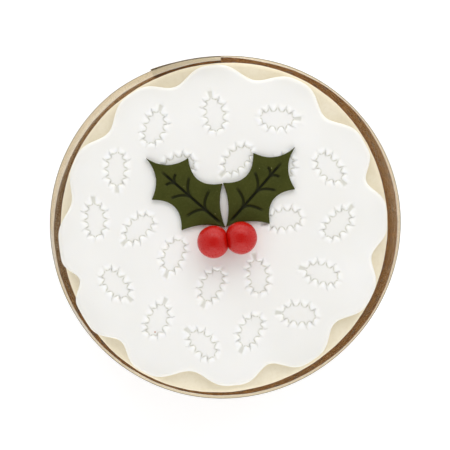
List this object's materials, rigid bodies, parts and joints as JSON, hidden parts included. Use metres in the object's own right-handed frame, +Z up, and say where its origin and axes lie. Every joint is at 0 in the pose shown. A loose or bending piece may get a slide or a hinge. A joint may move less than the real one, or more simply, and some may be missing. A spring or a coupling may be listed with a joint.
{
  "type": "christmas cake",
  "caption": "Round fruit cake with marzipan, scalloped white icing stamped with holly outlines, holly leaves and berries on top, and a clear film collar.",
  "frame": {"origin": "middle of the cake's flat base, on the surface it stands on", "axes": "+Z up; the holly leaves point towards +Y, one to each side"},
  "size_m": [0.1671, 0.1639, 0.0803],
  "materials": {
    "fruit_cake": "crumbly baked fruit cake",
    "marzipan": "smooth matte almond paste",
    "icing": "soft satin rolled icing",
    "holly_green": "matte coloured sugar paste",
    "berry_red": "satin coloured sugar paste",
    "clear_film": "clear glossy film"
  },
  "bodies": {
    "root": {"fruit_cake": "fruit_cake", "marzipan_layer": "marzipan", "icing_top": "icing", "holly_leaf_left": "holly_green", "holly_leaf_right": "holly_green", "berry_left": "berry_red", "berry_right": "berry_red", "collar": "clear_film"}
  },
  "joints": []
}
